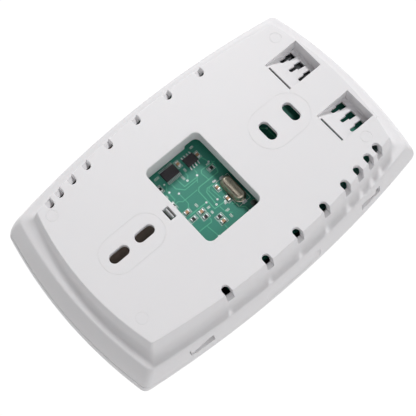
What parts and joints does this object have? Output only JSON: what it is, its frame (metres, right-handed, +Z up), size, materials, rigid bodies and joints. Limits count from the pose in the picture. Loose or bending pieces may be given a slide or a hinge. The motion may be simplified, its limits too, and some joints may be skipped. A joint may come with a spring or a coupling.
{
  "type": "wall thermostat",
  "caption": "Landscape wall thermostat with bowed edges: slotted vented back with wire opening and terminal pockets, front display, keys and battery door.",
  "frame": {"origin": "centre of the raised back face, on the wall plane", "axes": "+Y into the wall, the front faces -Y, +Z up with the release slots at the bottom, +X to the right seen from the front"},
  "size_m": [0.1472, 0.0288, 0.0904],
  "materials": {
    "shell_white": "injection-moulded ABS, fine satin texture",
    "key_grey": "moulded ABS, satin",
    "window_dark": "clear acrylic pane, polished",
    "lcd_glass": "liquid crystal cell under a polariser",
    "diffuser_white": "milky light guide",
    "frame_white": "moulded ABS, plain",
    "rubber_strip": "layered conductive elastomer",
    "board_green": "glass-epoxy board under green solder mask",
    "chip_black": "moulded epoxy",
    "nickel_can": "drawn nickel-plated can",
    "nickel_plate": "stamped nickel-plated spring steel",
    "ceramic_chip": "fired ceramic with tinned ends",
    "relay_blue": "moulded relay cover",
    "capacitor_can": "drawn aluminium can",
    "terminal_grey": "moulded flame-retardant nylon",
    "zinc_steel": "bright zinc-plated steel",
    "brass_cage": "stamped brass",
    "sensor_bead": "epoxy-dipped bead on tinned legs",
    "cell_wrap": "printed shrink sleeve, plain"
  },
  "bodies": {
    "case": {"back_shell": "shell_white", "front_shell": "shell_white", "main_board": "board_green", "microcontroller": "chip_black", "memory_chip": "chip_black", "crystal": "nickel_can", "relay": "relay_blue", "supply_capacitor": "capacitor_can", "temperature_sensor": "sensor_bead", "terminal_block": "terminal_grey", "display_window": "window_dark", "display_frame": "frame_white", "lcd_panel": "lcd_glass", "backlight_panel": "diffuser_white", "contact_strip": "rubber_strip", "battery_1": "cell_wrap", "battery_2": "cell_wrap", "battery_link": "nickel_plate", "battery_contact_1": "nickel_plate", "battery_contact_2": "nickel_plate", "battery_spring_1": "zinc_steel", "battery_spring_2": "zinc_steel", "chip_capacitor_1": "ceramic_chip", "chip_capacitor_2": "ceramic_chip", "chip_capacitor_3": "ceramic_chip", "chip_capacitor_4": "ceramic_chip", "chip_capacitor_5": "ceramic_chip", "chip_capacitor_6": "ceramic_chip", "chip_capacitor_7": "ceramic_chip", "board_screw_1": "zinc_steel", "board_screw_2": "zinc_steel", "board_screw_3": "zinc_steel", "board_screw_4": "zinc_steel", "switch_power": "chip_black", "switch_mode": "chip_black", "switch_down": "chip_black", "switch_up": "chip_black", "switch_program": "chip_black"},
    "power_key": {"key_power": "key_grey", "switch_stem_power": "terminal_grey"},
    "mode_key": {"key_mode": "key_grey", "switch_stem_mode": "terminal_grey"},
    "down_key": {"key_down": "key_grey", "switch_stem_down": "terminal_grey"},
    "up_key": {"key_up": "key_grey", "switch_stem_up": "terminal_grey"},
    "program_key": {"key_program": "key_grey", "switch_stem_program": "terminal_grey"},
    "right_latch": {"latch_right": "shell_white"},
    "left_latch": {"latch_left": "shell_white"},
    "screw_1": {"terminal_screw_1": "zinc_steel"},
    "cage_1": {"terminal_cage_1": "brass_cage"},
    "screw_2": {"terminal_screw_2": "zinc_steel"},
    "cage_2": {"terminal_cage_2": "brass_cage"},
    "screw_3": {"terminal_screw_3": "zinc_steel"},
    "cage_3": {"terminal_cage_3": "brass_cage"},
    "door": {"battery_door": "shell_white"}
  },
  "joints": [
    {"name": "power_key_press", "type": "slide", "parent": "case", "child": "power_key", "axis": [0, 1, 0], "range_m": [0, 0.0005], "stiffness_N_per_m": 2400},
    {"name": "mode_key_press", "type": "slide", "parent": "case", "child": "mode_key", "axis": [0, 1, 0], "range_m": [0, 0.0005], "stiffness_N_per_m": 2400},
    {"name": "down_key_press", "type": "slide", "parent": "case", "child": "down_key", "axis": [0, 1, 0], "range_m": [0, 0.0005], "stiffness_N_per_m": 2400},
    {"name": "up_key_press", "type": "slide", "parent": "case", "child": "up_key", "axis": [0, 1, 0], "range_m": [0, 0.0005], "stiffness_N_per_m": 2400},
    {"name": "program_key_press", "type": "slide", "parent": "case", "child": "program_key", "axis": [0, 1, 0], "range_m": [0, 0.0005], "stiffness_N_per_m": 2400},
    {"name": "right_latch_press", "type": "hinge", "parent": "case", "child": "right_latch", "pos_m": [0.04415, -0.0249, -0.037], "axis": [1, 0, 0], "range_deg": [0, 6.5], "stiffness_Nm_per_rad": 0.35},
    {"name": "left_latch_press", "type": "hinge", "parent": "case", "child": "left_latch", "pos_m": [-0.04005, -0.0249, -0.037], "axis": [1, 0, 0], "range_deg": [0, 6.5], "stiffness_Nm_per_rad": 0.35},
    {"name": "screw_1_turn", "type": "hinge", "parent": "case", "child": "screw_1", "pos_m": [-0.0552, -0.01, 0.0186], "axis": [0, -1, 0], "range_deg": [0, 1080]},
    {"name": "screw_2_turn", "type": "hinge", "parent": "case", "child": "screw_2", "pos_m": [-0.0552, -0.01, 0.0135], "axis": [0, -1, 0], "range_deg": [0, 1080]},
    {"name": "screw_3_turn", "type": "hinge", "parent": "case", "child": "screw_3", "pos_m": [-0.0552, -0.01, 0.0084], "axis": [0, -1, 0], "range_deg": [0, 1080]},
    {"name": "cage_1_lift", "type": "slide", "parent": "case", "child": "cage_1", "axis": [0, 1, 0], "range_m": [0, 0.00135]},
    {"name": "cage_2_lift", "type": "slide", "parent": "case", "child": "cage_2", "axis": [0, 1, 0], "range_m": [0, 0.00135]},
    {"name": "cage_3_lift", "type": "slide", "parent": "case", "child": "cage_3", "axis": [0, 1, 0], "range_m": [0, 0.00135]},
    {"name": "door_swing", "type": "hinge", "parent": "case", "child": "door", "pos_m": [0.0615, -0.0266, 0], "axis": [0, 0, 1], "range_deg": [0, 95]}
  ],
  "couplings": [
    {"joint": "screw_1_turn", "follows": "cage_1_lift", "rad_per_m": 13963},
    {"joint": "screw_2_turn", "follows": "cage_2_lift", "rad_per_m": 13963},
    {"joint": "screw_3_turn", "follows": "cage_3_lift", "rad_per_m": 13963}
  ]
}
